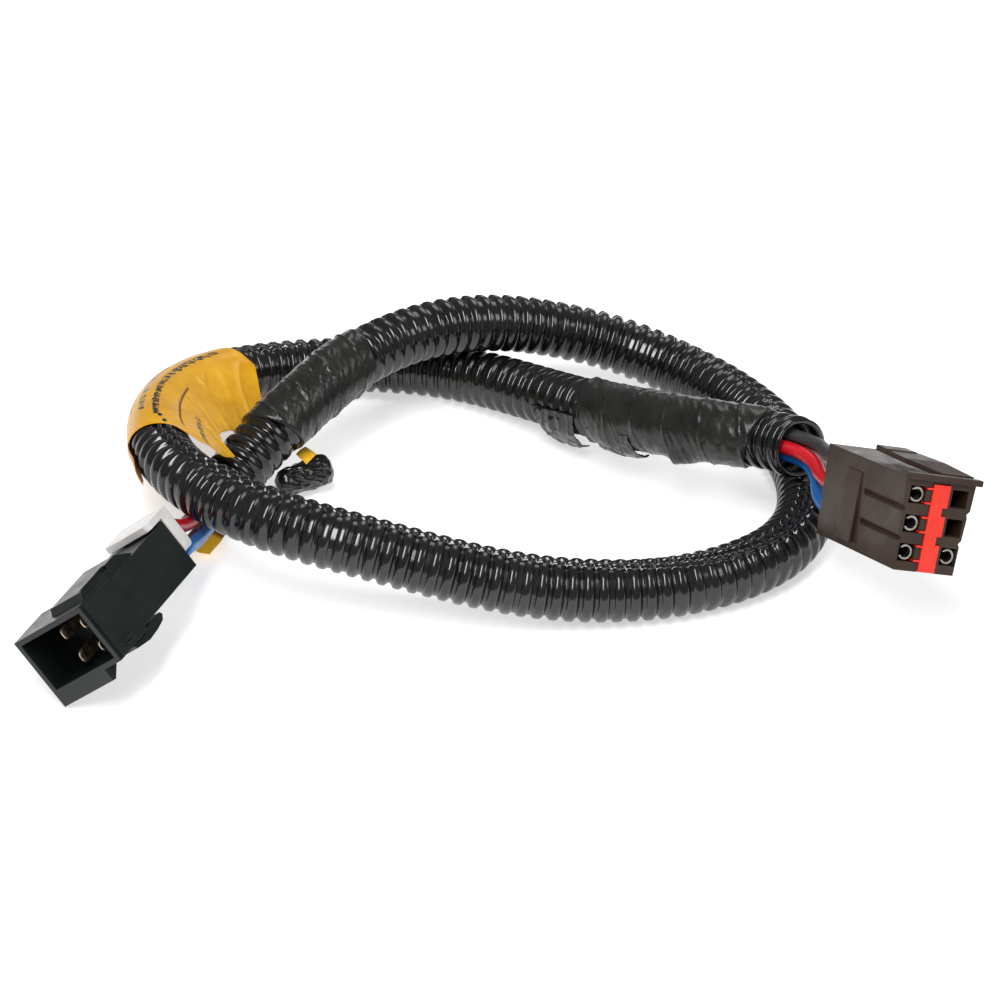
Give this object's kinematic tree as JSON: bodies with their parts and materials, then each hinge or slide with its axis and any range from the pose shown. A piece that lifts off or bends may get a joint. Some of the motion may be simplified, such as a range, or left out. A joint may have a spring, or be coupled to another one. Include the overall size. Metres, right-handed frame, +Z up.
{
  "type": "trailer brake controller wiring harness",
  "caption": "Coiled wiring harness that joins a trailer brake controller to a vehicle: a flat-blade plug and a rectangular socket joined by wires in split loom.",
  "frame": {"origin": "on the surface the harness lies on, under the middle of its footprint", "axes": "+X from the plug's side to the socket's side, along the longest extent; +Y away from the open ends of the two connectors; +Z up"},
  "size_m": [0.2028, 0.1464, 0.0451],
  "materials": {
    "black_nylon": "satin moulded nylon",
    "brown_nylon": "satin moulded nylon",
    "white_nylon": "translucent natural nylon",
    "red_nylon": "glossy moulded nylon",
    "blade_metal": "tinned brass",
    "contact_metal": "bright tinned copper alloy",
    "loom_plastic": "glossy polyethylene, corrugated",
    "vinyl_tape": "satin vinyl",
    "label_yellow": "satin film",
    "wire_black": "satin wire insulation",
    "wire_red": "satin wire insulation",
    "wire_blue": "satin wire insulation",
    "wire_white": "satin wire insulation",
    "copper": "bare stranded copper"
  },
  "bodies": {
    "harness": {"plug_housing": "black_nylon", "blade_terminal_black": "blade_metal", "blade_terminal_red": "blade_metal", "blade_terminal_blue": "blade_metal", "blade_terminal_white": "blade_metal", "socket_housing": "brown_nylon", "socket_terminal_black": "contact_metal", "socket_terminal_red": "contact_metal", "socket_terminal_blue": "contact_metal", "socket_terminal_white": "contact_metal", "split_loom": "loom_plastic", "wire_black": "wire_black", "wire_red": "wire_red", "wire_blue": "wire_blue", "wire_white": "wire_white", "strands_black": "copper", "strands_red": "copper", "strands_blue": "copper", "strands_white": "copper", "tape_wrap_plug_side": "vinyl_tape", "tape_wrap_socket_side": "vinyl_tape", "tape_tail_crumpled": "vinyl_tape", "tape_tail_folded": "vinyl_tape", "taped_end": "vinyl_tape", "wrap_label": "label_yellow", "label_flag": "label_yellow", "plug_tag": "label_yellow", "marker_flag": "label_yellow"},
    "plug_latch": {"plug_latch_lever": "black_nylon"},
    "plug_lock": {"plug_wire_lock": "white_nylon"},
    "socket_latch_arm": {"socket_latch": "brown_nylon"},
    "socket_lock": {"socket_terminal_lock": "red_nylon"}
  },
  "joints": [
    {"name": "plug_latch_flex", "type": "hinge", "parent": "harness", "child": "plug_latch", "pos_m": [-0.08002, -0.06579, 0.01161], "axis": [-0.7204, 0.2794, -0.6347], "range_deg": [0, 5], "stiffness_Nm_per_rad": 0.4},
    {"name": "wire_lock_slide", "type": "slide", "parent": "harness", "child": "plug_lock", "axis": [0.3616, 0.9323, 0], "range_m": [0, 0.0012]},
    {"name": "socket_latch_press", "type": "hinge", "parent": "harness", "child": "socket_latch_arm", "pos_m": [0.09616, -0.04144, 0.04024], "axis": [-0.913, -0.2797, 0.297], "range_deg": [0, 4], "stiffness_Nm_per_rad": 0.4},
    {"name": "terminal_lock_slide", "type": "slide", "parent": "harness", "child": "socket_lock", "axis": [0.3681, -0.8787, 0.304], "range_m": [0, 0.006]}
  ]
}
